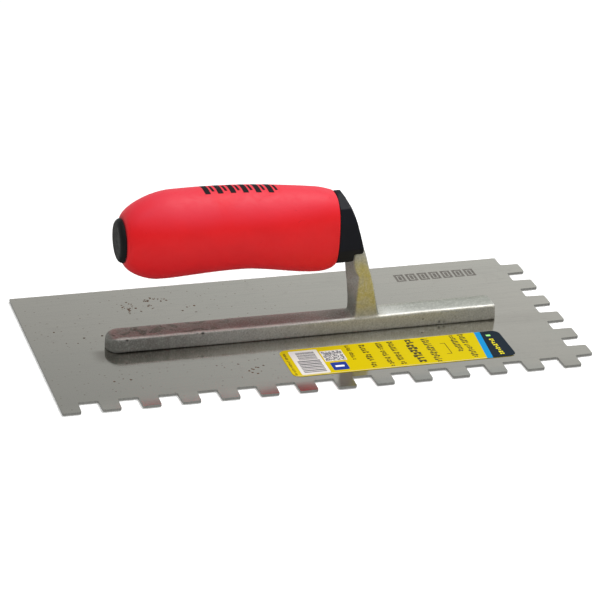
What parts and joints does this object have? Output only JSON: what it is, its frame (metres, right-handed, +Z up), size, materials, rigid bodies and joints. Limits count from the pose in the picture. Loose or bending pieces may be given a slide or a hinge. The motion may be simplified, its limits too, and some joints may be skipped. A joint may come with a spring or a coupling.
{
  "type": "notched trowel",
  "caption": "Notched trowel with a flat steel blade, square notches along the front and one end, a cast mounting bar and post, and a soft-grip handle over the blade.",
  "frame": {"origin": "middle of the blade's underside, on the surface the trowel rests on", "axes": "+X along the blade towards its notched end, +Y across the blade towards its plain long edge, +Z up towards the handle"},
  "size_m": [0.2794, 0.13, 0.085],
  "materials": {
    "blade_steel": "polished sheet steel with fine lengthwise grain and a few rust specks",
    "cast_aluminium": "tumbled casting, slightly pitted",
    "rivet_steel": "ground flush",
    "black_plastic": "satin moulded",
    "soft_red": "soft-touch matt",
    "cap_plastic": "satin moulded",
    "zinc_steel": "zinc plated",
    "label_film": "printed vinyl, semi-gloss"
  },
  "bodies": {
    "root": {"blade": "blade_steel", "mounting": "cast_aluminium", "rivet_1": "rivet_steel", "rivet_2": "rivet_steel", "rivet_3": "rivet_steel", "rivet_4": "rivet_steel", "rivet_5": "rivet_steel", "rivet_6": "rivet_steel", "rivet_7": "rivet_steel", "rivet_8": "rivet_steel", "rivet_9": "rivet_steel", "rivet_10": "rivet_steel", "handle_core": "black_plastic", "soft_grip": "soft_red", "end_cap": "cap_plastic", "handle_bolt": "zinc_steel", "bolt_washer": "zinc_steel", "label": "label_film"}
  },
  "joints": []
}
